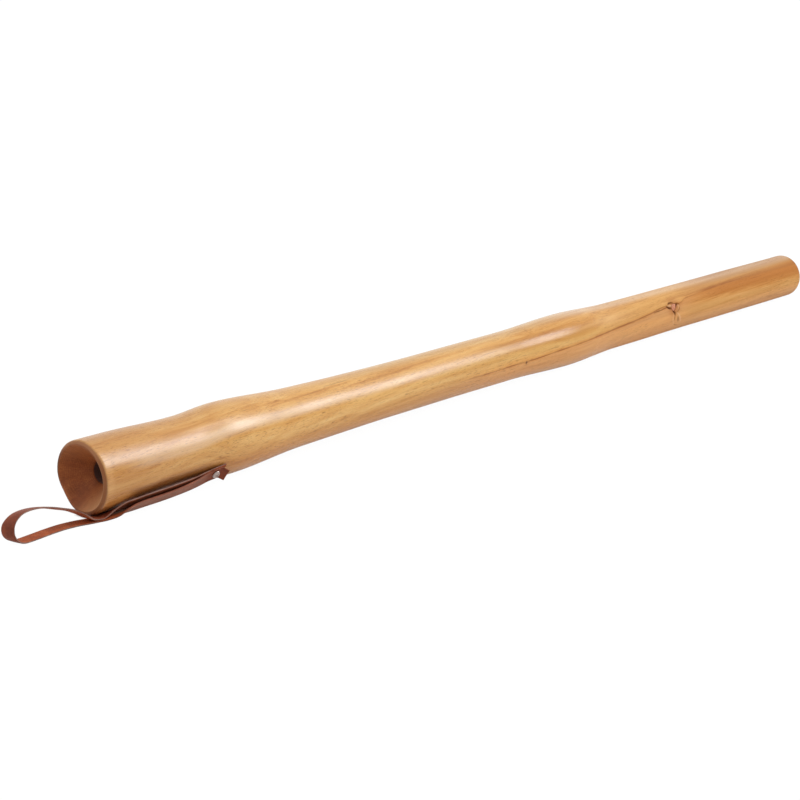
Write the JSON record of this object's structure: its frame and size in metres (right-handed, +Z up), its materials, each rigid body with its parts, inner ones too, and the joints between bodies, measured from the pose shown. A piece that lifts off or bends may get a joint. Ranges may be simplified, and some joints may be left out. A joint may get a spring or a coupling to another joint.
{
  "type": "didgeridoo",
  "caption": "Bored hardwood wind instrument tube with gentle swells, a turned bell mouth, a rounded mouthpiece and a folded leather hanging strap on a screw.",
  "frame": {"origin": "centre of the bell mouth, on the bore axis, in the plane of the rim", "axes": "+X along the bore towards the mouthpiece, +Z up as the tube lies, -Y the side with the strap screw"},
  "size_m": [1.411, 0.0855, 0.0853],
  "materials": {
    "varnished_wood": "golden hardwood under clear varnish, bare brown wood in the bell",
    "knot_wood": "pinkish dead knot with a dark crack round it",
    "strap_leather": "red-brown grain side, orange flesh side, greyish cut edges",
    "screw_steel": "bright zinc-plated round head"
  },
  "bodies": {
    "instrument": {"tube": "varnished_wood", "branch_knot": "knot_wood", "strap_screw": "screw_steel"},
    "hanging_strap": {"strap": "strap_leather"}
  },
  "joints": [
    {"name": "strap_swivel", "type": "hinge", "parent": "instrument", "child": "hanging_strap", "pos_m": [0.16, -0.03316, -0.02237], "axis": [0, -0.829, -0.5592], "range_deg": [0, 60]}
  ]
}
